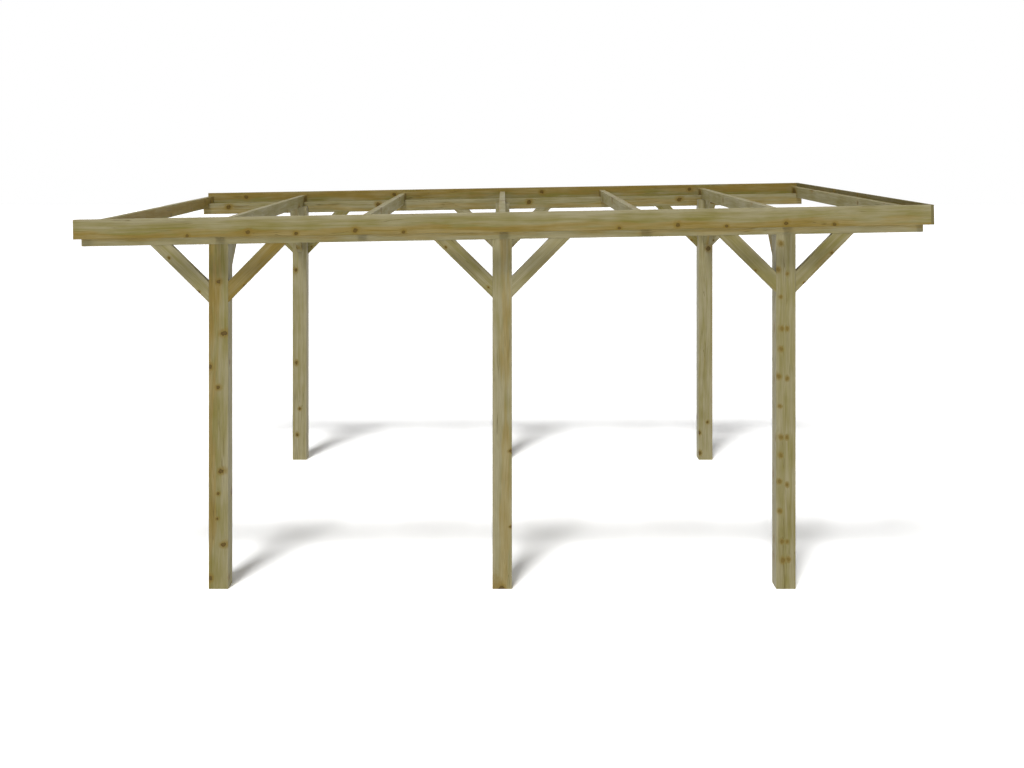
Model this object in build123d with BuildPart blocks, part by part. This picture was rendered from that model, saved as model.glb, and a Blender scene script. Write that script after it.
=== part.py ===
from build123d import *
import os
from math import cos, radians, sin, tan

# Open timber carport: two rows of posts carry a purlin each, rafters are notched over
# the purlins, and fascia boards close the rafter ends and the high end.
# The posts stand on the ground at Z = 0. X runs along the purlins to the high end of the
# roof, Y runs across from the near row to the far row. The origin lies on the ground
# under the middle of the whole frame.

# Timber sections
post_side = 120
purlin_thickness = 45
purlin_height = 90
rafter_thickness = 45
rafter_height = 90
fascia_thickness = 18
fascia_height = 120
brace_thickness = 45
brace_width = 90
edge_radius = 3

# Setting out on the ground
posts_per_row = 3
post_pitch = 1741
row_width = 3160

# Roof frame
roof_slope = 1.0
seat_height = 2201
purlin_drop = 55
purlin_overhang = 841
rafter_overhang = 130
fascia_upstand = 30

# Knee braces, measured from the corner along the post and along the beam
side_brace_leg = 357
cross_brace_leg = 386

# The rafters' undersides and the post heads lie in one sloping plane, the rafter seat.
# It passes seat_height above the ground at the middle of the rows.
slope = radians(roof_slope)
uphill = Vector(cos(slope), 0, sin(slope))
square_up = Vector(-sin(slope), 0, cos(slope))
to_near = Vector(0, -1, 0)
to_far = Vector(0, 1, 0)
straight_up = Vector(0, 0, 1)

row_reach = (posts_per_row - 1) / 2 * post_pitch
purlin_half = (row_reach + purlin_overhang) / cos(slope)
notch_depth = purlin_height - purlin_drop
rafter_end = row_width / 2 + rafter_overhang
fascia_low = rafter_height + fascia_upstand - fascia_height
fascia_top = rafter_height + fascia_upstand
post_line = row_width / 2 - post_side / 2
purlin_line = row_width / 2 - purlin_thickness / 2
brace_line = row_width / 2 - brace_thickness / 2

# The fascia's top corner reaches furthest at the low end, its bottom corner at the high end.
low_reach = purlin_half * cos(slope) + fascia_top * sin(slope)
high_reach = (purlin_half + fascia_thickness) * cos(slope) - fascia_low * sin(slope)
row_middle = (low_reach - high_reach) / 2

post_places = [row_middle + index * post_pitch - row_reach for index in range(posts_per_row)]
rows = {"near": -1, "far": 1}


def on_roof(run, across, rise):
    """Point at a run up the slope, across in Y and a rise square to the rafter seat."""
    start = Vector(row_middle, across, seat_height)
    return start + uphill * run + square_up * rise


def roof_run(place):
    """Run up the slope of the point of the rafter seat that lies over a place in X."""
    return (place - row_middle) / cos(slope)


def finish(piece, name):
    """Label a finished piece and write it to its own file."""
    piece.label = name
    export_step(piece, f"parts/{name}.step")


def cut_post(place, side):
    """Post with a sloping head, rebated on its outer side to take the purlin."""
    head = on_roof(roof_run(place), side * purlin_line, 0)
    spare_length = post_side
    with BuildPart() as post:
        with BuildSketch(Plane.XY):
            with Locations((place, side * post_line)):
                RectangleRounded(post_side, post_side, edge_radius)
        extrude(amount=head.Z + spare_length)
        split(bisect_by=Plane(origin=head, z_dir=square_up), keep=Keep.BOTTOM)
        seat = Plane(origin=head - square_up * purlin_drop, x_dir=uphill, z_dir=square_up)
        with BuildSketch(seat):
            Rectangle(2 * post_side, purlin_thickness)
        extrude(amount=2 * purlin_drop, mode=Mode.SUBTRACT)
    return post.part


def saw_purlin(side):
    """Straight purlin that lies in the post rebates, square at its ends."""
    middle = purlin_height / 2 - purlin_drop
    low_end = on_roof(-purlin_half, side * purlin_line, middle)
    with BuildPart() as purlin:
        with BuildSketch(Plane(origin=low_end, x_dir=to_far, z_dir=uphill)):
            RectangleRounded(purlin_thickness, purlin_height, edge_radius)
        extrude(amount=2 * purlin_half)
    return purlin.part


def notch_rafter(run):
    """Rafter across both rows, notched down over each purlin."""
    far_end = on_roof(run, rafter_end, rafter_height / 2)
    face = on_roof(run - rafter_thickness / 2, 0, notch_depth / 2)
    with BuildPart() as rafter:
        with BuildSketch(Plane(origin=far_end, x_dir=uphill, z_dir=to_near)):
            RectangleRounded(rafter_thickness, rafter_height, edge_radius)
        extrude(amount=2 * rafter_end)
        with BuildSketch(Plane(origin=face, x_dir=to_far, z_dir=uphill)):
            with Locations((-purlin_line, 0), (purlin_line, 0)):
                Rectangle(purlin_thickness, notch_depth)
        extrude(amount=rafter_thickness, mode=Mode.SUBTRACT)
    return rafter.part


def side_fascia(side):
    """Long fascia along the rafter ends, standing above them as an edge for the roof."""
    middle = (fascia_low + fascia_top) / 2
    low_end = on_roof(-purlin_half, side * (rafter_end + fascia_thickness / 2), middle)
    with BuildPart() as board:
        with BuildSketch(Plane(origin=low_end, x_dir=to_far, z_dir=uphill)):
            RectangleRounded(fascia_thickness, fascia_height, edge_radius)
        extrude(amount=2 * purlin_half)
    return board.part


def end_fascia():
    """Fascia across the high end, over the last rafter and the ends of the long boards."""
    half_width = rafter_end + fascia_thickness
    middle = (fascia_low + fascia_top) / 2
    far_end = on_roof(purlin_half + fascia_thickness / 2, half_width, middle)
    with BuildPart() as board:
        with BuildSketch(Plane(origin=far_end, x_dir=uphill, z_dir=to_near)):
            RectangleRounded(fascia_thickness, fascia_height, edge_radius)
        extrude(amount=2 * half_width)
    return board.part


def mitre_brace(corner, outward, beam_run, leg, broad_side):
    """Brace under a corner, mitred to the post face and to the beam's underside.

    Its outer edge runs between the points one leg down the post and one leg along the beam.
    """
    foot = corner - straight_up * leg
    tip = corner + beam_run * leg
    line = (tip - foot).normalized()
    inward = broad_side.cross(line)
    if inward.dot(corner - foot) < 0:
        inward = inward * -1
    spare_length = brace_width
    start = foot + inward * (brace_width / 2) - line * spare_length
    with BuildPart() as brace:
        with BuildSketch(Plane(origin=start, x_dir=broad_side, z_dir=line)):
            RectangleRounded(brace_thickness, brace_width, edge_radius)
        extrude(amount=(tip - foot).length + 2 * spare_length)
        split(bisect_by=Plane(origin=corner, z_dir=outward), keep=Keep.TOP)
        split(bisect_by=Plane(origin=corner, z_dir=square_up), keep=Keep.BOTTOM)
    return brace.part


def side_brace(place, side, hand):
    """Brace in the plane of the row, flush with the post's outer face, up to the purlin."""
    face = place + hand * post_side / 2
    outward = Vector(hand, 0, 0)
    drop = purlin_drop / cos(slope)
    rise = (face - row_middle) * tan(slope)
    corner = Vector(face, side * brace_line, seat_height + rise - drop)
    return mitre_brace(corner, outward, uphill * hand, side_brace_leg, to_far)


def cross_brace(place, side):
    """Brace from the middle of the post's inner face up to the rafter over the post."""
    outward = Vector(0, -side, 0)
    rise = (place - row_middle) * tan(slope)
    corner = Vector(place, side * (row_width / 2 - post_side), seat_height + rise)
    return mitre_brace(corner, outward, outward, cross_brace_leg, uphill)


os.makedirs("parts", exist_ok=True)

for row, side in rows.items():
    finish(saw_purlin(side), f"purlin_{row}")
    finish(side_fascia(side), f"fascia_{row}")
    for number, place in enumerate(post_places, start=1):
        finish(cut_post(place, side), f"post_{row}_{number}")
        finish(side_brace(place, side, -1), f"knee_brace_{row}_{number}_low")
        finish(side_brace(place, side, 1), f"knee_brace_{row}_{number}_high")
        finish(cross_brace(place, side), f"cross_brace_{row}_{number}")

finish(end_fascia(), "fascia_high_end")

# A rafter stands over each post, one halfway between, and one flush with each purlin end.
end_run = purlin_half - rafter_thickness / 2
half_bays = [row_middle - row_reach + step * post_pitch / 2 for step in range(2 * posts_per_row - 1)]
rafter_runs = [-end_run] + [roof_run(place) for place in half_bays] + [end_run]
for number, run in enumerate(rafter_runs, start=1):
    finish(notch_rafter(run), f"rafter_{number}")
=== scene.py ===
"""Dress the open timber carport: its green treated pine, a pale studio and the camera.

Every timber of the frame keeps its own shape. Each gets a solid wood finish whose grain,
growth rings and knots run through the timber the way it was sawn, so that all its faces
and ends belong together.
"""

import logging
from dataclasses import dataclass, field
from enum import Enum
from math import cos, hypot, pi, radians, sin
from random import Random
from typing import Any

import bpy
from mathutils import Matrix, Vector


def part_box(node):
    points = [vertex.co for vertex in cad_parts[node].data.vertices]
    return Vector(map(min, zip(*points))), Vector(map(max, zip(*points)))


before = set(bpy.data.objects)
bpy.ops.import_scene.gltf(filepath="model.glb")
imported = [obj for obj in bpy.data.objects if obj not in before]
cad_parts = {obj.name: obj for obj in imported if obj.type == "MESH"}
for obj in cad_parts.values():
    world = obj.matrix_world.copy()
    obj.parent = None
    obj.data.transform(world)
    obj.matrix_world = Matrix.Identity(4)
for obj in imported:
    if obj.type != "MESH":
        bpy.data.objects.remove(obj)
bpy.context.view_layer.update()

log = logging.getLogger("carport")

Colour = tuple[float, float, float, float]
# Each knot of a face: its place along the timber, its place across it and its width.
Knots = tuple[tuple[float, float, float], ...]

ROOF_SLOPE = radians(1.0)
UP = Vector((0, 0, 1))
ACROSS_BAY = Vector((0, 1, 0))
ROOF_RUN = Vector((cos(ROOF_SLOPE), 0, sin(ROOF_SLOPE)))
WHITE = (1, 1, 1, 1)
# How near the nearest branch is where there is none, in shares of a branch's half width.
NO_BRANCH = 10.0


def paint(red: int, green: int, blue: int) -> Colour:
    """Turn a colour as seen on a screen into the renderer's own.

    Args:
        red: Red from 0 to 255.
        green: Green from 0 to 255.
        blue: Blue from 0 to 255.

    Returns:
        The same colour as light values, with full alpha.
    """
    def light(level: int) -> float:
        """One channel of the colour as a light value."""
        share = level / 255
        return share / 12.92 if share <= 0.04045 else ((share + 0.055) / 1.055) ** 2.4

    return light(red), light(green), light(blue), 1.0


class Run(Enum):
    """Which way a timber lies: along its grain, and across its broad face."""

    UPRIGHT = (UP, Vector((1, 0, 0)))
    UPHILL = (ROOF_RUN, UP)
    CROSSWAYS = (ACROSS_BAY, UP)
    KNEE_LOW = (UP - ROOF_RUN, UP + ROOF_RUN)
    KNEE_HIGH = (UP + ROOF_RUN, UP - ROOF_RUN)
    CROSS_NEAR = (UP + ACROSS_BAY, UP - ACROSS_BAY)
    CROSS_FAR = (UP - ACROSS_BAY, UP + ACROSS_BAY)

    @property
    def turn(self) -> Matrix:
        """Turn the timber's own axes (grain, across, out) into the carport's.

        Returns:
            The rotation from the one to the other.
        """
        grain = self.value[0].normalized()
        across = (self.value[1] - grain * self.value[1].dot(grain)).normalized()
        return Matrix((grain, across, grain.cross(across))).transposed()


class Tone(Enum):
    """How pale the treatment has left the wood, from 0 for deep olive to 1 for silver."""

    DEEP = 0.12
    WARM = 0.20
    OLIVE = 0.46
    PALE = 0.64
    GREY = 0.82


class Sawing(Enum):
    """How the saw or planer left the surface: its gloss, and the fuzz of its fibres."""

    ROUGH = (0.25, 0.14)
    PLANED = (0.18, 0.0)
    DULL = (0.05, 0.0)


@dataclass(frozen=True)
class Branch:
    """A branch that the timber was sawn through. It shows as a knot where it comes out.

    The place is measured from the timber's middle, in metres, and lies on the branch's
    middle line where it leaves the wood.
    """

    along: float
    across: float
    out: float
    width: float


@dataclass(frozen=True)
class Timber:
    """One sawn timber: its node, the way it lies and how it was cut from the log.

    The pith is the log's middle line, measured from the timber's middle line. The heart
    is the radius of the brown heartwood round it. The stretch moves the pattern of the
    grain along the timber, so that no two timbers are alike. The darkening is how far the
    whole timber is darkened towards dark brown, and the knot depth how dark its knots are.
    """

    node: str
    run: Run
    tone: Tone
    pith: tuple[float, float]
    stretch: float
    branches: tuple[Branch, ...] = ()
    heart: float = 0.045
    sawing: Sawing = Sawing.PLANED
    darkening: float = 0.0
    knot_depth: float = 1.0


@dataclass(frozen=True)
class TreatedPine:
    """Colours and sizes of pressure-treated pine, in metres.

    The wood pales from pale_from outwards, by the paling for each metre.
    """

    deep_sapwood: Colour = paint(126, 117, 54)
    pale_sapwood: Colour = paint(161, 153, 120)
    deep_heartwood: Colour = paint(134, 113, 50)
    pale_heartwood: Colour = paint(161, 148, 104)
    late_wood: Colour = paint(112, 98, 48)
    knot_heart: Colour = paint(106, 84, 30)
    knot_bark: Colour = paint(66, 50, 12)
    knot_halo: Colour = paint(129, 106, 40)
    check: Colour = paint(92, 76, 30)
    # The dark brown that a timber's darkening draws its whole colour towards.
    dark_brown: Colour = paint(66, 50, 12)
    end_grain: Colour = paint(120, 114, 80)
    ring_width: float = 0.0042
    paling: float = 5.0
    pale_from: float = 0.055
    roughness: float = 0.56
    fuzz_roughness: float = 0.50
    grain_depth: float = 0.0006


class Wiring:
    """Adds nodes to one shader tree and links them as they are made."""

    def __init__(self, tree: bpy.types.NodeTree) -> None:
        """Work on this tree.

        Args:
            tree: The tree of a material, a world or a node group.
        """
        self.tree = tree

    def add(
        self, kind: str, feeds: dict[str | int, Any] | None = None, **settings: Any
    ) -> bpy.types.Node:
        """Add a node.

        Args:
            kind: The node's type, without the leading ShaderNode.
            feeds: What goes into its inputs, as values or as other nodes' outputs.
            **settings: The node's own settings.

        Returns:
            The new node.
        """
        node = self.tree.nodes.new("ShaderNode" + kind)
        for name, value in settings.items():
            setattr(node, name, value)
        for name, value in (feeds or {}).items():
            self.feed(node.inputs[name], value)
        return node

    def feed(self, socket: bpy.types.NodeSocket, value: Any) -> None:
        """Link an output into a socket, or set the socket to a plain value.

        Args:
            socket: The input to feed.
            value: What goes into it.
        """
        if isinstance(value, bpy.types.NodeSocket):
            self.tree.links.new(value, socket)
        else:
            socket.default_value = value

    def group(self, tree: bpy.types.NodeTree, feeds: dict[str, Any]) -> Any:
        """Place a node group with what goes into it, and give its outputs."""
        return self.add("Group", feeds, node_tree=tree).outputs

    def math(self, operation: str, *values: Any) -> bpy.types.NodeSocket:
        """Work out a number from up to three others."""
        return self.add("Math", dict(enumerate(values)), operation=operation).outputs[0]

    def vector(self, operation: str, *values: Any, scale: Any = None) -> bpy.types.NodeSocket:
        """Work out a vector, or a number for a dot product, length or distance.

        Args:
            operation: What to do with the vectors.
            *values: The vectors.
            scale: The number to scale by, where the operation takes one.

        Returns:
            The result.
        """
        node = self.add("VectorMath", dict(enumerate(values)), operation=operation)
        if scale is not None:
            self.feed(node.inputs["Scale"], scale)
        as_number = operation in ("DOT_PRODUCT", "LENGTH", "DISTANCE")
        return node.outputs["Value" if as_number else "Vector"]

    def join(self, along: Any, across: Any, out: Any) -> bpy.types.NodeSocket:
        """Make a vector of three numbers."""
        return self.add("CombineXYZ", {0: along, 1: across, 2: out}).outputs[0]

    def spread(
        self, value: Any, low: float, high: float, to_low: float = 0.0, to_high: float = 1.0
    ) -> bpy.types.NodeSocket:
        """Ease a number from one range into another, level outside it.

        Args:
            value: The number.
            low: Where the easing starts.
            high: Where the easing ends.
            to_low: The result up to the start.
            to_high: The result from the end on.

        Returns:
            The eased number.
        """
        feeds = {
            "Value": value,
            "From Min": low,
            "From Max": high,
            "To Min": to_low,
            "To Max": to_high,
        }
        return self.add("MapRange", feeds, interpolation_type="SMOOTHSTEP").outputs[0]

    def swing(
        self, pattern: Any, reach: float, low: float = 0.25, high: float = 0.75
    ) -> bpy.types.NodeSocket:
        """Turn a noise pattern, which mostly lies between low and high, into a swing either way."""
        return self.spread(pattern, low, high, -reach, reach)

    def noise(
        self, place: Any, swells: tuple, detail: float = 2.0, roughness: float = 0.5
    ) -> Any:
        """Lay a noise pattern.

        Args:
            place: Where the pattern is looked up.
            swells: How many swells it has for each metre, each way.
            detail: How many finer patterns lie over the first.
            roughness: How strong each finer pattern is, as a share of the one before.

        Returns:
            The pattern's outputs.
        """
        scaled = self.vector("MULTIPLY", place, swells)
        feeds = {"Vector": scaled, "Scale": 1.0, "Detail": detail, "Roughness": roughness}
        return self.add("TexNoise", feeds).outputs

    def tint(
        self, share: Any, first: Any, second: Any, blend: str = "MIX"
    ) -> bpy.types.NodeSocket:
        """Mix two colours by a share of the second."""
        feeds = {0: share, 6: first, 7: second}
        return self.add("Mix", feeds, data_type="RGBA", blend_type=blend).outputs[2]


class GroupMaker:
    """Makes one shader node group with named inputs and outputs."""

    def __init__(self, name: str, inputs: dict[str, Any], outputs: dict[str, str]) -> None:
        """Start a group.

        Args:
            name: The group's name.
            inputs: Each input's name with its standing value, a number or a vector.
            outputs: Each output's name with its type, one of Float, Vector and Color.
        """
        self.tree = bpy.data.node_groups.new(name, "ShaderNodeTree")
        self.wiring = Wiring(self.tree)
        for title, value in inputs.items():
            kind = "Float" if isinstance(value, float) else "Vector"
            self.declare(title, "INPUT", kind).default_value = value
        for title, kind in outputs.items():
            self.declare(title, "OUTPUT", kind)
        self.entry = self.tree.nodes.new("NodeGroupInput").outputs
        self.exit = self.tree.nodes.new("NodeGroupOutput").inputs

    def declare(self, title: str, side: str, kind: str) -> bpy.types.NodeTreeInterfaceSocket:
        """Add a named socket to the group's inputs or outputs."""
        socket_type = "NodeSocket" + kind
        return self.tree.interface.new_socket(title, in_out=side, socket_type=socket_type)

    def give(self, title: str, value: bpy.types.NodeSocket) -> None:
        """Send a result out of the group."""
        self.tree.links.new(value, self.exit[title])


class PineGroups:
    """The effects that every timber's finish is put together from."""

    def __init__(self, pine: TreatedPine) -> None:
        """Make the groups.

        Args:
            pine: Colours and sizes of the wood.
        """
        self.pine = pine
        self.branch = self.make_branch()
        self.grain = self.make_grain()
        self.rings = self.make_rings()
        self.knots = self.make_knots()
        self.colour = self.make_colour()

    def make_branch(self) -> bpy.types.NodeTree:
        """How far a place lies from a branch's middle line, in shares of its own half width.

        Returns:
            The group. Its result is the least of this branch's share and the one fed in.
        """
        inputs = {
            "Place": (0.0, 0.0, 0.0),
            "Start": (0.0, 0.0, 0.0),
            "Direction": (0.0, 0.0, 1.0),
            "Growth": 0.2,
            "Nearest": NO_BRANCH,
        }
        group = GroupMaker("branch", inputs, {"Nearest": "Float"})
        wiring, entry = group.wiring, group.entry
        drawn_out = (0.78, 1.0, 1.0)
        bud_half_width = 0.0012
        offset = wiring.vector("SUBTRACT", entry["Place"], entry["Start"])
        offset = wiring.vector("MULTIPLY", offset, drawn_out)
        reach = wiring.vector("DOT_PRODUCT", offset, entry["Direction"])
        reach = wiring.math("MAXIMUM", reach, 0.0)
        middle = wiring.vector("SCALE", entry["Direction"], scale=reach)
        distance = wiring.vector("DISTANCE", offset, middle)
        half_width = wiring.math("MULTIPLY_ADD", reach, entry["Growth"], bud_half_width)
        share = wiring.math("DIVIDE", distance, half_width)
        group.give("Nearest", wiring.math("MINIMUM", share, entry["Nearest"]))
        return group.tree

    def make_grain(self) -> bpy.types.NodeTree:
        """The place in the tree that a place in the timber was, with the grain's wander.

        The grain sways a little along the log and swells round each knot.

        Returns:
            The group, which gives that place and its distance from the pith.
        """
        inputs = {"Place": (0.0, 0.0, 0.0), "Stretch": 0.0, "Nearest": NO_BRANCH}
        group = GroupMaker("grain", inputs, {"Place": "Vector", "From Pith": "Float"})
        wiring, entry = group.wiring, group.entry
        sway_swells, sway = (0.9, 2.6, 2.6), (0.0, 0.045, 0.045)
        knot_swell, swell_fall = 0.008, -0.25
        pith_radius = 0.002
        moved = wiring.vector("ADD", entry["Place"], wiring.join(entry["Stretch"], 0.0, 0.0))
        swaying = wiring.noise(moved, sway_swells, detail=1.5)["Color"]
        centred = wiring.vector("SUBTRACT", swaying, (0.5, 0.5, 0.5))
        bent = wiring.vector("ADD", moved, wiring.vector("MULTIPLY", centred, sway))
        radial = wiring.vector("LENGTH", wiring.vector("MULTIPLY", bent, (0.0, 1.0, 1.0)))
        near = wiring.math("MULTIPLY", entry["Nearest"], entry["Nearest"])
        near = wiring.math("MULTIPLY", near, swell_fall)
        swell = wiring.math("MULTIPLY", wiring.math("EXPONENT", near), knot_swell)
        lifted = wiring.math("SUBTRACT", radial, swell)
        share = wiring.math("DIVIDE", lifted, wiring.math("MAXIMUM", radial, pith_radius))
        group.give("Place", wiring.vector("MULTIPLY", bent, wiring.join(1.0, share, share)))
        group.give("From Pith", lifted)
        return group.tree

    def make_rings(self) -> bpy.types.NodeTree:
        """The growth rings, fibres and drying cracks, and how pale and how brown the wood is.

        Returns:
            The group, which gives each as a mask from 0 to 1.
        """
        inputs = {"Place": (0.0, 0.0, 0.0), "From Pith": 0.0, "Heart": 0.045, "Tone": 0.5}
        masks = ("Late Wood", "Fibre", "Pale", "Sapwood", "Check")
        group = GroupMaker("growth_rings", inputs, dict.fromkeys(masks, "Float"))
        wiring, entry = group.wiring, group.entry
        lean_swells, lean_years = (95.0, 1.0, 1.0), 1.6
        summer = 2.2
        fibre_swells = (14.0, 620.0, 620.0)
        edge_place, edge_swells = (7.0, 3.0, 5.0), (3.0, 26.0, 26.0)
        edge_wander, edge_softness = 0.018, 0.010
        years = wiring.math("DIVIDE", entry["From Pith"], self.pine.ring_width)
        outwards = wiring.join(entry["From Pith"], 0.0, 0.0)
        lean = wiring.noise(outwards, lean_swells, detail=1.0)[0]
        year = wiring.math("FRACT", wiring.math("MULTIPLY_ADD", lean, lean_years, years))
        season = wiring.math("POWER", year, summer)
        wave = wiring.math("COSINE", wiring.math("MULTIPLY", season, 2 * pi))
        group.give("Late Wood", wiring.math("MULTIPLY_ADD", wave, -0.5, 0.5))
        group.give("Fibre", wiring.noise(entry["Place"], fibre_swells)[0])
        group.give("Pale", self.paleness(wiring, entry))
        edge = wiring.noise(wiring.vector("ADD", entry["Place"], edge_place), edge_swells)[0]
        uneven = wiring.swing(edge, edge_wander)
        beyond = wiring.math("ADD", entry["From Pith"], uneven)
        beyond = wiring.math("SUBTRACT", beyond, entry["Heart"])
        group.give("Sapwood", wiring.spread(beyond, -edge_softness, edge_softness))
        group.give("Check", self.checks(wiring, entry["Place"]))
        return group.tree

    def paleness(self, wiring: Wiring, entry: Any) -> bpy.types.NodeSocket:
        """How pale the wood is: paler outwards, most of all under the bark, and in streaks.

        Args:
            wiring: Where the nodes go.
            entry: The group's own inputs.

        Returns:
            The paleness, held between 0 and 1.
        """
        streak_swells, streak_gain = (2.4, 40.0, 40.0), 0.27
        patch_place, patch_swells, patch_gain = (3.0, 8.0, 1.0), (5.0, 7.0, 7.0), 0.16
        bark_from, bark_full, bark_gain = 0.118, 0.136, 0.28
        streak = wiring.noise(entry["Place"], streak_swells, detail=3.5, roughness=0.62)[0]
        patch = wiring.noise(wiring.vector("ADD", entry["Place"], patch_place), patch_swells)[0]
        outwards = wiring.math("SUBTRACT", entry["From Pith"], self.pine.pale_from)
        pale = wiring.math("MULTIPLY_ADD", outwards, self.pine.paling, entry["Tone"])
        pale = wiring.math("ADD", pale, wiring.swing(streak, streak_gain, low=0.30, high=0.70))
        pale = wiring.math("ADD", pale, wiring.swing(patch, patch_gain, low=0.30, high=0.70))
        bark = wiring.spread(entry["From Pith"], bark_from, bark_full, 0.0, bark_gain)
        pale = wiring.math("ADD", pale, bark)
        return wiring.math("MINIMUM", wiring.math("MAXIMUM", pale, 0.0), 1.0)

    def checks(self, wiring: Wiring, place: bpy.types.NodeSocket) -> bpy.types.NodeSocket:
        """Fine cracks that open along the grain as the wood dries.

        Args:
            wiring: Where the nodes go.
            place: The place in the tree.

        Returns:
            A mask of the cracks.
        """
        line_swells, line_core, line_rim = (1.3, 34.0, 34.0), 0.004, 0.014
        stretch_swells, shut, ajar = (2.1, 9.0, 9.0), 0.54, 0.64
        line = wiring.math("SUBTRACT", wiring.noise(place, line_swells)[0], 0.5)
        line = wiring.math("ABSOLUTE", line)
        opened = wiring.spread(wiring.noise(place, stretch_swells, detail=1.0)[0], shut, ajar)
        line = wiring.spread(line, line_core, line_rim, 1.0, 0.0)
        return wiring.math("MULTIPLY", line, opened)

    def make_knots(self) -> bpy.types.NodeTree:
        """The knots, from how near the nearest branch is.

        Returns:
            The group, which gives masks of the knots, their dark bark and the halo round them.
        """
        inputs = {"Place": (0.0, 0.0, 0.0), "Nearest": NO_BRANCH, "Fibre": 0.5, "Depth": 1.0}
        group = GroupMaker("knots", inputs, dict.fromkeys(("Knot", "Bark", "Halo"), "Float"))
        wiring, entry = group.wiring, group.entry
        rim_swells, rim_wander = (70.0, 90.0, 90.0), 0.22
        knot_core, knot_end = 0.80, 1.15
        crack_swells, crack_from, crack_full = (60.0, 420.0, 420.0), 0.60, 0.72
        ring_count, ring_depth = 3.5, 0.22
        bark_from, bark_full = 0.50, 0.95
        halo_core, halo_end, halo_depth = 0.80, 3.00, 0.95
        thin_fibre, thick_fibre, thin_share = 0.20, 0.60, 0.55
        rim = wiring.noise(entry["Place"], rim_swells, detail=1.0)[0]
        share = wiring.math("ADD", entry["Nearest"], wiring.swing(rim, rim_wander))
        knot = wiring.spread(share, knot_core, knot_end, 1.0, 0.0)
        group.give("Knot", wiring.math("MULTIPLY", knot, entry["Depth"]))
        cracked = wiring.noise(entry["Place"], crack_swells, detail=1.0)[0]
        cracked = wiring.spread(cracked, crack_from, crack_full)
        ripple = wiring.math("COSINE", wiring.math("MULTIPLY", share, 2 * pi * ring_count))
        ripple = wiring.math("MULTIPLY_ADD", ripple, -ring_depth, ring_depth)
        inside = wiring.math("MAXIMUM", cracked, ripple)
        bark = wiring.spread(share, bark_from, bark_full)
        group.give("Bark", wiring.math("MAXIMUM", bark, inside))
        halo = wiring.spread(share, halo_core, halo_end, halo_depth, 0.0)
        fibres = wiring.spread(entry["Fibre"], thin_fibre, thick_fibre, thin_share, 1.0)
        group.give("Halo", wiring.math("MULTIPLY", halo, fibres))
        return group.tree

    def make_colour(self) -> bpy.types.NodeTree:
        """The wood's colour, its dullness and its relief.

        Returns:
            The group, which takes the masks and gives a colour and two numbers.
        """
        pine = self.pine
        inputs = {
            "Late Wood": 0.0,
            "Fibre": 0.5,
            "Pale": 0.5,
            "Sapwood": 0.5,
            "Darkening": 0.0,
            "Check": 0.0,
            "Knot": 0.0,
            "Bark": 0.0,
            "Halo": 0.0,
            "End": 0.0,
        }
        outputs = {"Color": "Color", "Roughness": "Float", "Height": "Float"}
        group = GroupMaker("treated_pine", inputs, outputs)
        wiring, entry = group.wiring, group.entry
        late_share, check_share, end_share = 0.26, 0.55, 0.7
        dark_fibre, pale_fibre = 0.90, 1.10
        fibre_dullness, knot_polish, knot_height = 0.16, -0.10, 0.5
        sapwood = wiring.tint(entry["Pale"], pine.deep_sapwood, pine.pale_sapwood)
        heartwood = wiring.tint(entry["Pale"], pine.deep_heartwood, pine.pale_heartwood)
        wood = wiring.tint(entry["Sapwood"], heartwood, sapwood)
        late_wood = wiring.math("MULTIPLY", entry["Late Wood"], late_share)
        wood = wiring.tint(late_wood, wood, pine.late_wood)
        fibre = wiring.spread(entry["Fibre"], 0.25, 0.75, dark_fibre, pale_fibre)
        wood = wiring.tint(1.0, wood, wiring.join(fibre, fibre, fibre), "MULTIPLY")
        # Darken the whole timber towards dark brown, by its own share.
        wood = wiring.tint(entry["Darkening"], wood, pine.dark_brown)
        check = wiring.math("MULTIPLY", entry["Check"], check_share)
        wood = wiring.tint(check, wood, pine.check)
        wood = wiring.tint(entry["Halo"], wood, pine.knot_halo)
        end = wiring.math("MULTIPLY", entry["End"], end_share)
        wood = wiring.tint(end, wood, pine.end_grain)
        knot = wiring.tint(entry["Bark"], pine.knot_heart, pine.knot_bark)
        group.give("Color", wiring.tint(entry["Knot"], wood, knot))
        smoothest = pine.roughness - fibre_dullness / 2
        dull = wiring.math("MULTIPLY_ADD", entry["Fibre"], fibre_dullness, smoothest)
        group.give("Roughness", wiring.math("MULTIPLY_ADD", entry["Knot"], knot_polish, dull))
        relief = wiring.math("ADD", entry["Fibre"], entry["Late Wood"])
        relief = wiring.math("MULTIPLY", relief, 0.5)
        relief = wiring.math("SUBTRACT", relief, entry["Check"])
        group.give("Height", wiring.math("MULTIPLY_ADD", entry["Knot"], knot_height, relief))
        return group.tree


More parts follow.
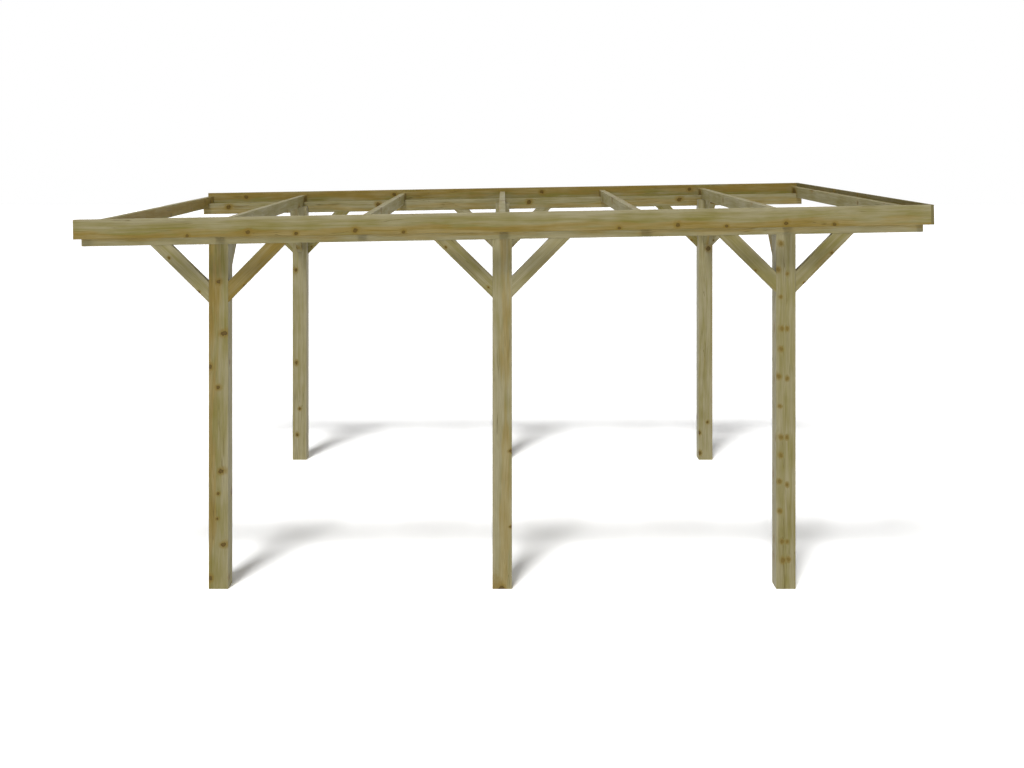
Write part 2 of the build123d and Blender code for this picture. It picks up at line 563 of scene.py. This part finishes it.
@dataclass
class TimberYard:
    """Finishes timbers in the wood they were cut from.

    The relief is how strongly the grain stands out. A face turns from side grain to end
    grain between end_from and end_full, as shares of facing straight along the grain.
    Branches climb along the timber by branch_climb for each metre outwards.
    """

    pine: TreatedPine = field(default_factory=TreatedPine)
    relief: float = 0.6
    end_from: float = 0.55
    end_full: float = 0.85
    branch_climb: float = 0.12

    def __post_init__(self) -> None:
        """Make the shared groups once."""
        self.groups = PineGroups(self.pine)

    def finish(self, timber: Timber) -> None:
        """Give a timber's node its own material.

        Args:
            timber: The timber to finish.
        """
        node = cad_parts[timber.node]
        material = self.saw(timber)
        for slot in node.material_slots:
            slot.material = material
        log.info("%s finished with %d knots", timber.node, len(timber.branches))

    def saw(self, timber: Timber) -> bpy.types.Material:
        """Make the material of one timber.

        Args:
            timber: The timber that it is for.

        Returns:
            A wood material on the timber's own axes.
        """
        material = bpy.data.materials.new(timber.node + "_pine")
        material.use_nodes = True
        material.node_tree.nodes.clear()
        wiring = Wiring(material.node_tree)
        source = wiring.add("TexCoord").outputs
        place = self.settle(wiring, timber, source["Object"])
        nearest = self.grow(wiring, timber, place)
        feeds = {"Place": place, "Stretch": timber.stretch, "Nearest": nearest}
        grain = wiring.group(self.groups.grain, feeds)
        feeds = {"Place": grain["Place"], "From Pith": grain["From Pith"]}
        feeds |= {"Heart": timber.heart, "Tone": timber.tone.value}
        rings = wiring.group(self.groups.rings, feeds)
        feeds = {"Place": place, "Nearest": nearest, "Fibre": rings["Fibre"]}
        feeds["Depth"] = timber.knot_depth
        knots = wiring.group(self.groups.knots, feeds)
        facing = wiring.vector("DOT_PRODUCT", source["Normal"], timber.run.turn.col[0])
        feeds = {name: rings[name] for name in ("Late Wood", "Fibre", "Pale", "Sapwood", "Check")}
        feeds |= {name: knots[name] for name in ("Knot", "Bark", "Halo")}
        feeds["Darkening"] = timber.darkening
        facing = wiring.math("ABSOLUTE", facing)
        feeds["End"] = wiring.spread(facing, self.end_from, self.end_full)
        look = wiring.group(self.groups.colour, feeds)
        feeds = {"Strength": self.relief, "Distance": self.pine.grain_depth}
        feeds["Height"] = look["Height"]
        bump = wiring.add("Bump", feeds)
        gloss, fuzz = timber.sawing.value
        feeds = {
            "Base Color": look["Color"],
            "Roughness": look["Roughness"],
            "Specular IOR Level": gloss,
            "Sheen Weight": fuzz,
            "Sheen Roughness": self.pine.fuzz_roughness,
            "Normal": bump.outputs[0],
        }
        shader = wiring.add("BsdfPrincipled", feeds)
        wiring.add("OutputMaterial", {"Surface": shader.outputs[0]})
        return material

    def settle(
        self, wiring: Wiring, timber: Timber, place: bpy.types.NodeSocket
    ) -> bpy.types.NodeSocket:
        """Measure a place from the timber's pith, along and across its grain.

        Args:
            wiring: Where the nodes go.
            timber: The timber that the place is in.
            place: The place in the carport.

        Returns:
            The place on the timber's own axes.
        """
        low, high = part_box(timber.node)
        turn = timber.run.turn
        pith = (low + high) / 2 + turn @ Vector((0, *timber.pith))
        feeds = {"Vector": place, "Location": pith, "Rotation": turn.to_euler()}
        return wiring.add("Mapping", feeds, vector_type="TEXTURE").outputs[0]

    def grow(
        self, wiring: Wiring, timber: Timber, place: bpy.types.NodeSocket
    ) -> bpy.types.NodeSocket | float:
        """Put the timber's branches into its wood.

        Args:
            wiring: Where the nodes go.
            timber: The timber that the branches are in.
            place: The place on the timber's own axes.

        Returns:
            How near the nearest branch is.
        """
        nearest = NO_BRANCH
        for branch in timber.branches:
            reach = Vector((0, branch.across - timber.pith[0], branch.out - timber.pith[1]))
            rise = self.branch_climb * reach.length
            feeds = {
                "Place": place,
                "Start": Vector((branch.along - rise, 0, 0)),
                "Direction": (reach + Vector((rise, 0, 0))).normalized(),
                "Growth": branch.width / 2 / hypot(reach.length, rise),
                "Nearest": nearest,
            }
            nearest = wiring.group(self.groups.branch, feeds)["Nearest"]
        return nearest


class Face(Enum):
    """The side of a timber that a branch comes out of, on the timber's own across and out.

    On a post, whose out points away from the viewer, the front is the side that is seen,
    and the lower and upper edges are its left and right sides. A timber whose out points
    towards the viewer has its front behind.
    """

    FRONT = (0, -1)
    BACK = (0, 1)
    LOWER_EDGE = (-1, 0)
    UPPER_EDGE = (1, 0)


@dataclass(frozen=True)
class Whorls:
    """How branches stood on a trunk: in whorls, on all the sides of the timber cut from it."""

    half_across: float
    half_out: float
    width: float

    def scatter(
        self, length: float, spacing: float, seed: int, faces: tuple[Face, ...] = tuple(Face)
    ) -> tuple[Branch, ...]:
        """Set branches along a whole timber.

        Args:
            length: The length of the timber, or of the blank that it was mitred from.
            spacing: About how far apart the whorls are.
            seed: Sets this timber's own places and widths.
            faces: The sides that they may come out of.

        Returns:
            Its branches.
        """
        luck = Random(seed)
        first_gap, gap = (0.2, 0.9), (0.7, 1.3)
        found = []
        along = -length / 2 + luck.uniform(*first_gap) * spacing
        while along < length / 2:
            found.append(self.leave(along, luck.choice(faces), luck))
            along += luck.uniform(*gap) * spacing
        return tuple(found)

    def partners(self, seen: tuple[Branch, ...], seed: int) -> tuple[Branch, ...]:
        """Give each branch of the front another of the same whorl on another side.

        Args:
            seen: The branches of the front.
            seed: Sets the new branches' places and widths.

        Returns:
            The branches of the other sides.
        """
        luck = Random(seed)
        whorl_depth = 0.03
        others = (Face.BACK, Face.LOWER_EDGE, Face.UPPER_EDGE)
        found = []
        for number, branch in enumerate(seen):
            along = branch.along + luck.uniform(-whorl_depth, whorl_depth)
            found.append(self.leave(along, others[number % len(others)], luck))
        return tuple(found)

    def leave(self, along: float, face: Face, luck: Random) -> Branch:
        """Set one branch.

        Args:
            along: Its place along the timber.
            face: The side that it comes out of.
            luck: Gives its place across that side and its width.

        Returns:
            The branch.
        """
        across, out = face.value
        from_middle, slimmest, stoutest = 0.75, 0.7, 1.25
        shift = luck.uniform(-from_middle, from_middle)
        width = self.width * luck.uniform(slimmest, stoutest)
        if out:
            return Branch(along, shift * self.half_across, out * self.half_out, width)
        return Branch(along, across * self.half_across, shift * self.half_out, width)


@dataclass(frozen=True)
class PostCut:
    """How one post was cut, and the knots of its front, each placed by its height."""

    tone: Tone
    pith: tuple[float, float]
    heart: float
    knots: Knots
    knot_depth: float = 1.0


@dataclass
class Posts:
    """The six posts, sawn with the heart of the log inside them."""

    side: float = 0.120
    knot_width: float = 0.018
    first_stretch: float = 1.3
    stretch_step: float = 3.7

    def timbers(self) -> list[Timber]:
        """List the posts as sawn.

        Returns:
            One timber for each post.
        """
        half = self.side / 2
        whorls = Whorls(half, half, self.knot_width)
        found = []
        for number, (node, cut) in enumerate(self.cuts().items()):
            low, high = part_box(node)
            middle = (low.z + high.z) / 2
            front = tuple(
                Branch(height - middle, across, -half, width) for height, across, width in cut.knots
            )
            timber = Timber(
                node,
                Run.UPRIGHT,
                cut.tone,
                pith=cut.pith,
                stretch=self.stretch_step * number + self.first_stretch,
                branches=front + whorls.partners(front, seed=number),
                heart=cut.heart,
                sawing=Sawing.ROUGH,
                knot_depth=cut.knot_depth,
            )
            found.append(timber)
        return found

    def cuts(self) -> dict[str, PostCut]:
        """Say how each post was cut.

        Returns:
            Each post's cut, by its node.
        """
        return {
            "post_near_1": self.near_left(),
            "post_near_2": self.near_middle(),
            "post_near_3": self.near_right(),
            "post_far_1": self.far_left(),
            "post_far_2": self.far_middle(),
            "post_far_3": self.far_right(),
        }

    def near_left(self) -> PostCut:
        """Give the near left post's cut, brown along its left edge.

        Returns:
            Its cut.
        """
        knots = (
            (1.882, 0.000, 0.014),
            (1.566, 0.032, 0.019),
            (1.362, -0.050, 0.018),
            (1.234, -0.003, 0.014),
            (0.720, 0.014, 0.017),
            (0.583, -0.002, 0.009),
            (0.428, -0.007, 0.008),
            (0.270, 0.030, 0.015),
            (0.064, -0.048, 0.018),
        )
        return PostCut(Tone.WARM, pith=(-0.055, 0.000), heart=0.070, knots=knots)

    def near_middle(self) -> PostCut:
        """Give the near middle post's cut, pale with few knots."""
        knots = ((0.846, 0.052, 0.011), (0.382, 0.052, 0.007), (-0.006, 0.006, 0.028))
        return PostCut(Tone.GREY, pith=(0.018, -0.042), heart=0.026, knots=knots)

    def near_right(self) -> PostCut:
        """Give the near right post's cut, with many small, faint knots.

        Returns:
            Its cut.
        """
        knots = (
            (2.117, -0.030, 0.014),
            (1.956, -0.047, 0.014),
            (1.790, -0.031, 0.009),
            (1.595, -0.025, 0.013),
            (1.595, 0.008, 0.012),
            (1.932, 0.008, 0.010),
            (1.470, -0.029, 0.013),
            (1.301, -0.043, 0.014),
            (1.289, 0.008, 0.012),
            (1.119, -0.036, 0.010),
            (0.929, -0.029, 0.013),
            (0.929, 0.006, 0.012),
            (0.818, -0.030, 0.012),
            (0.657, -0.040, 0.012),
            (0.638, 0.007, 0.012),
            (0.476, -0.036, 0.012),
            (0.289, -0.023, 0.012),
            (0.289, 0.008, 0.010),
            (0.174, -0.018, 0.016),
            (0.179, 0.015, 0.014),
        )
        return PostCut(
            Tone.OLIVE, pith=(0.014, 0.004), heart=0.030, knots=knots, knot_depth=0.38
        )

    def far_left(self) -> PostCut:
        """Give the far left post's cut.

        Returns:
            Its cut.
        """
        knots = (
            (1.626, -0.032, 0.020),
            (0.831, -0.027, 0.020),
            (0.436, 0.000, 0.014),
            (0.214, -0.021, 0.016),
        )
        return PostCut(Tone.PALE, pith=(-0.024, 0.000), heart=0.030, knots=knots)

    def far_middle(self) -> PostCut:
        """Give the far middle post's cut."""
        knots = ((0.600, 0.020, 0.016), (1.250, -0.030, 0.018))
        return PostCut(Tone.PALE, pith=(0.018, -0.012), heart=0.030, knots=knots)

    def far_right(self) -> PostCut:
        """Give the far right post's cut.

        Returns:
            Its cut.
        """
        knots = (
            (1.810, 0.021, 0.024),
            (0.322, 0.016, 0.012),
            (0.231, -0.054, 0.018),
            (0.056, -0.049, 0.020),
        )
        return PostCut(Tone.PALE, pith=(-0.020, -0.010), heart=0.030, knots=knots)


@dataclass
class Fascias:
    """The boards on both sides and the high end of the roof, sawn from beside the heart."""

    thickness: float = 0.018
    height: float = 0.120
    end_length: float = 3.456
    whorl_spacing: float = 0.55
    knot_width: float = 0.016

    def timbers(self) -> list[Timber]:
        """List the boards as sawn.

        Returns:
            One timber for each board.
        """
        half = self.thickness / 2
        near = tuple(
            Branch(along, across, half, width) for along, across, width in self.near_knots()
        )
        far_across, far_width = 0.022, 0.022
        far = tuple(
            Branch(along, far_across, half, far_width) for along in (-2.251, -0.953, 0.344, 1.640)
        )
        whorls = Whorls(self.height / 2, half, self.knot_width)
        end = whorls.scatter(self.end_length, self.whorl_spacing, seed=40)
        near_board = Timber(
            "fascia_near",
            Run.UPHILL,
            Tone.WARM,
            pith=(-0.070, -0.050),
            stretch=2.2,
            branches=near,
            heart=0.075,
        )
        far_board = Timber(
            "fascia_far",
            Run.UPHILL,
            Tone.WARM,
            pith=(0.035, -0.030),
            stretch=9.4,
            branches=far,
            heart=0.055,
        )
        end_board = Timber(
            "fascia_high_end",
            Run.CROSSWAYS,
            Tone.DEEP,
            pith=(-0.040, -0.040),
            stretch=15.1,
            branches=end,
            heart=0.080,
            sawing=Sawing.DULL,
            # The whole board is darkened towards dark brown.
            darkening=0.45,
        )
        return [near_board, far_board, end_board]

    def near_knots(self) -> Knots:
        """List the near board's knots.

        Returns:
            Each knot, placed from the board's middle.
        """
        return (
            (-1.897, -0.048, 0.013),
            (-1.533, -0.036, 0.018),
            (-1.243, -0.048, 0.014),
            (-0.887, -0.035, 0.018),
            (-0.595, -0.048, 0.014),
            (0.702, -0.048, 0.013),
            (1.055, -0.037, 0.018),
            (1.347, -0.048, 0.013),
            (1.707, -0.037, 0.017),
            (1.999, -0.048, 0.014),
        )


@dataclass
class Purlins:
    """The two beams along the rows."""

    thickness: float = 0.045
    height: float = 0.090
    length: float = 5.166
    whorl_spacing: float = 0.6
    knot_width: float = 0.018

    def timbers(self) -> list[Timber]:
        """List the purlins as sawn.

        Returns:
            One timber for each purlin.
        """
        half = self.thickness / 2
        whorls = Whorls(self.height / 2, half, self.knot_width)
        near = whorls.scatter(self.length, self.whorl_spacing, seed=21)
        far_across, far_width = 0.010, 0.024
        far = tuple(
            Branch(along, far_across, half, far_width) for along in (-2.369, -1.078, 0.226, 1.524)
        )
        near_beam = Timber(
            "purlin_near",
            Run.UPHILL,
            Tone.PALE,
            pith=(0.015, -0.012),
            stretch=21.7,
            branches=near,
        )
        far_beam = Timber(
            "purlin_far",
            Run.UPHILL,
            Tone.PALE,
            pith=(-0.015, -0.018),
            stretch=27.9,
            branches=far,
        )
        return [near_beam, far_beam]


@dataclass
class Rafters:
    """The seven rafters across the bay, each with a dark knot through it near its far end,
    partly a real knot and partly painted shade where the rafter meets the far purlin and fascia.

    They are numbered from the low end. The pith lies on the high side of those listed in
    high_side_pith and on the low side of the others.
    """

    count: int = 7
    thickness: float = 0.045
    height: float = 0.090
    length: float = 3.420
    whorl_spacing: float = 0.5
    knot_width: float = 0.018
    brown: int = 1
    high_side_pith: tuple[int, ...] = (1, 5, 6, 7)
    pith_up: float = 0.010
    pith_aside: float = 0.045
    first_seed: int = 60
    first_stretch: float = 31.0
    stretch_step: float = 5.3

    def timbers(self) -> list[Timber]:
        """List the rafters as sawn.

        Returns:
            One timber for each rafter.
        """
        half = self.thickness / 2
        whorls = Whorls(self.height / 2, half, self.knot_width)
        # Dark knots near the far end on both sides: partly real knots, partly painted shade where
        # the rafter meets the far purlin and fascia.
        along, across, width = 1.60, 0.005, 0.026
        far_knots_and_painted_shade = (Branch(along, across, half, width), Branch(along, across, -half, width))
        found = []
        for number in range(1, self.count + 1):
            side = 1 if number in self.high_side_pith else -1
            seed = self.first_seed + number
            timber = Timber(
                f"rafter_{number}",
                Run.CROSSWAYS,
                Tone.WARM if number == self.brown else Tone.OLIVE,
                pith=(self.pith_up, side * self.pith_aside),
                stretch=self.first_stretch + self.stretch_step * number,
                branches=far_knots_and_painted_shade + whorls.scatter(self.length, self.whorl_spacing, seed),
            )
            found.append(timber)
        return found


@dataclass
class KneeBraces:
    """The braces in the rows, a pair for each post, each mitred from a longer blank."""

    thickness: float = 0.045
    width: float = 0.090
    blank_length: float = 0.550
    whorl_spacing: float = 0.3
    knot_width: float = 0.014
    pith_across: float = 0.020
    pith_out: float = 0.070
    brown_heart: float = 0.090
    pale_heart: float = 0.030
    first_seed: int = 80
    first_stretch: float = 70.0
    stretch_step: float = 2.3

    def timbers(self) -> list[Timber]:
        """List the knee braces as sawn.

        Returns:
            One timber for each brace.
        """
        near_tones = (Tone.PALE, Tone.DEEP, Tone.PALE, Tone.GREY, Tone.PALE, Tone.OLIVE)
        far_tones = (Tone.PALE, Tone.OLIVE, Tone.GREY, Tone.PALE, Tone.OLIVE, Tone.PALE)
        # The pith lies before each brace and its branches come out behind it.
        ends = (
            ("low", Run.KNEE_LOW, Face.BACK, -self.pith_out),
            ("high", Run.KNEE_HIGH, Face.FRONT, self.pith_out),
        )
        whorls = Whorls(self.width / 2, self.thickness / 2, self.knot_width)
        found = []
        for row, tones in (("near", near_tones), ("far", far_tones)):
            for place, tone in enumerate(tones):
                end, run, behind, pith_out = ends[place % 2]
                seed = self.first_seed + len(found)
                branches = whorls.scatter(
                    self.blank_length, self.whorl_spacing, seed, faces=(behind,)
                )
                timber = Timber(
                    f"knee_brace_{row}_{place // 2 + 1}_{end}",
                    run,
                    tone,
                    pith=(self.pith_across, pith_out),
                    stretch=self.first_stretch + self.stretch_step * len(found),
                    branches=branches,
                    heart=self.brown_heart if tone is Tone.DEEP else self.pale_heart,
                )
                found.append(timber)
        return found


@dataclass
class CrossBraces:
    """The braces across the bay, one for each post, each mitred from a longer blank."""

    thickness: float = 0.045
    width: float = 0.090
    blank_length: float = 0.590
    whorl_spacing: float = 0.3
    knot_width: float = 0.014
    pith: tuple[float, float] = (0.020, -0.050)
    first_seed: int = 120
    first_stretch: float = 110.0
    stretch_step: float = 2.9

    def timbers(self) -> list[Timber]:
        """List the cross braces as sawn.

        Returns:
            One timber for each brace.
        """
        whorls = Whorls(self.width / 2, self.thickness / 2, self.knot_width)
        found = []
        for row, run in (("near", Run.CROSS_NEAR), ("far", Run.CROSS_FAR)):
            for number, tone in enumerate((Tone.GREY, Tone.PALE, Tone.OLIVE), start=1):
                seed = self.first_seed + len(found)
                timber = Timber(
                    f"cross_brace_{row}_{number}",
                    run,
                    tone,
                    pith=self.pith,
                    stretch=self.first_stretch + self.stretch_step * len(found),
                    branches=whorls.scatter(self.blank_length, self.whorl_spacing, seed),
                )
                found.append(timber)
        return found


@dataclass
class Camera:
    """The camera where the photograph was taken from: level, upright and shifted.

    Its numbers are pixels of a picture 1024 wide and 768 high, but for the sensor in
    millimetres and the pixel, which is what one stands for at the near posts, in metres.
    """

    width: float = 1024
    height: float = 768
    focal: float = 1245.0
    vanishing_column: float = 503.5
    horizon: float = 135.2
    foot_row: float = 589.05
    sensor: float = 36.0
    pixel: float = 0.006135

    def set_up(self) -> None:
        """Place the camera before the near posts and make it the scene's own."""
        lens = bpy.data.cameras.new("photo_camera")
        lens.sensor_width = self.sensor
        lens.lens = self.focal / self.width * self.sensor
        lens.shift_x = (self.width / 2 - self.vanishing_column) / self.width
        lens.shift_y = (self.horizon - self.height / 2) / self.width
        camera = bpy.data.objects.new("photo_camera", lens)
        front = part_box("post_near_2")[0].y
        away = self.focal * self.pixel
        eye_height = (self.foot_row - self.horizon) * self.pixel
        camera.location = (0.0, front - away, eye_height)
        camera.rotation_euler = (pi / 2, 0, 0)
        bpy.context.scene.collection.objects.link(camera)
        bpy.context.scene.camera = camera
        log.info("camera %.3f m before the posts, %.3f m high", away, eye_height)


@dataclass
class Studio:
    """A white room: soft light from its walls and one broad lamp high at the front left."""

    wall_light: float = 2.00
    walls_end: float = 0.56
    lamp: float = 2.0
    lamp_height: float = radians(61.0)
    lamp_turn: float = radians(18.0)
    lamp_spread: float = radians(12.0)
    floor_half: float = 40.0
    floor_tone: float = 0.90
    floor_seen: float = 1.705

    def set_up(self) -> None:
        """Light the room and lay its floor."""
        scene = bpy.context.scene
        scene.view_settings.view_transform = "Standard"
        self.light_walls(scene)
        self.hang_lamp(scene)
        self.lay_floor(scene)
        log.info("studio lit")

    def light_walls(self, scene: bpy.types.Scene) -> None:
        """Light the room from its walls, fading out towards its ceiling, and show it white.

        Args:
            scene: The scene that the room is for.
        """
        world = bpy.data.worlds.new("white_room")
        world.use_nodes = True
        world.node_tree.nodes.clear()
        wiring = Wiring(world.node_tree)
        outwards = wiring.add("TexCoord").outputs["Generated"]
        upwards = wiring.vector("DOT_PRODUCT", outwards, UP)
        level = wiring.spread(upwards, 0.0, self.walls_end, self.wall_light, 0.0)
        soft = wiring.add("Background", {"Color": WHITE, "Strength": level})
        white = wiring.add("Background", {"Color": WHITE, "Strength": 1.0})
        path = wiring.add("LightPath").outputs
        seen = wiring.math("MAXIMUM", path["Is Camera Ray"], path["Is Transmission Ray"])
        seen = wiring.math("MAXIMUM", seen, path["Is Glossy Ray"])
        feeds = {0: seen, 1: soft.outputs[0], 2: white.outputs[0]}
        mixed = wiring.add("MixShader", feeds)
        wiring.add("OutputWorld", {"Surface": mixed.outputs[0]})
        scene.world = world

    def hang_lamp(self, scene: bpy.types.Scene) -> None:
        """Hang the broad lamp.

        Args:
            scene: The scene that the room is for.
        """
        light = bpy.data.lights.new("broad_lamp", "SUN")
        light.energy = self.lamp
        light.angle = self.lamp_spread
        lamp = bpy.data.objects.new("broad_lamp", light)
        fall = Vector((sin(self.lamp_turn), cos(self.lamp_turn), 0)) * cos(self.lamp_height)
        fall.z = -sin(self.lamp_height)
        lamp.rotation_euler = fall.to_track_quat("-Z", "Y").to_euler()
        scene.collection.objects.link(lamp)

    def lay_floor(self, scene: bpy.types.Scene) -> None:
        """Lay a plain pale floor that shows the frame's soft shadow.

        Args:
            scene: The scene that the room is for.
        """
        mesh = bpy.data.meshes.new("studio_floor")
        reach = self.floor_half
        corners = [(-reach, -reach, 0), (reach, -reach, 0), (reach, reach, 0), (-reach, reach, 0)]
        mesh.from_pydata(corners, [], [(0, 1, 2, 3)])
        floor = bpy.data.objects.new("studio_floor", mesh)
        material = bpy.data.materials.new("studio_floor")
        material.use_nodes = True
        material.node_tree.nodes.clear()
        wiring = Wiring(material.node_tree)
        seen = wiring.add("LightPath").outputs["Is Camera Ray"]
        tone = wiring.spread(seen, 0.0, 1.0, self.floor_tone, self.floor_seen)
        surface = wiring.add("BsdfDiffuse", {"Color": wiring.join(tone, tone, tone)})
        wiring.add("OutputMaterial", {"Surface": surface.outputs[0]})
        mesh.materials.append(material)
        scene.collection.objects.link(floor)


def main() -> None:
    """Set up the studio and camera and finish every timber."""
    logging.basicConfig(level=logging.INFO, format="%(name)s: %(message)s")
    Studio().set_up()
    Camera().set_up()
    yard = TimberYard()
    for part in (Posts(), Fascias(), Purlins(), Rafters(), KneeBraces(), CrossBraces()):
        for timber in part.timbers():
            yard.finish(timber)


if __name__ == "__main__":
    main()
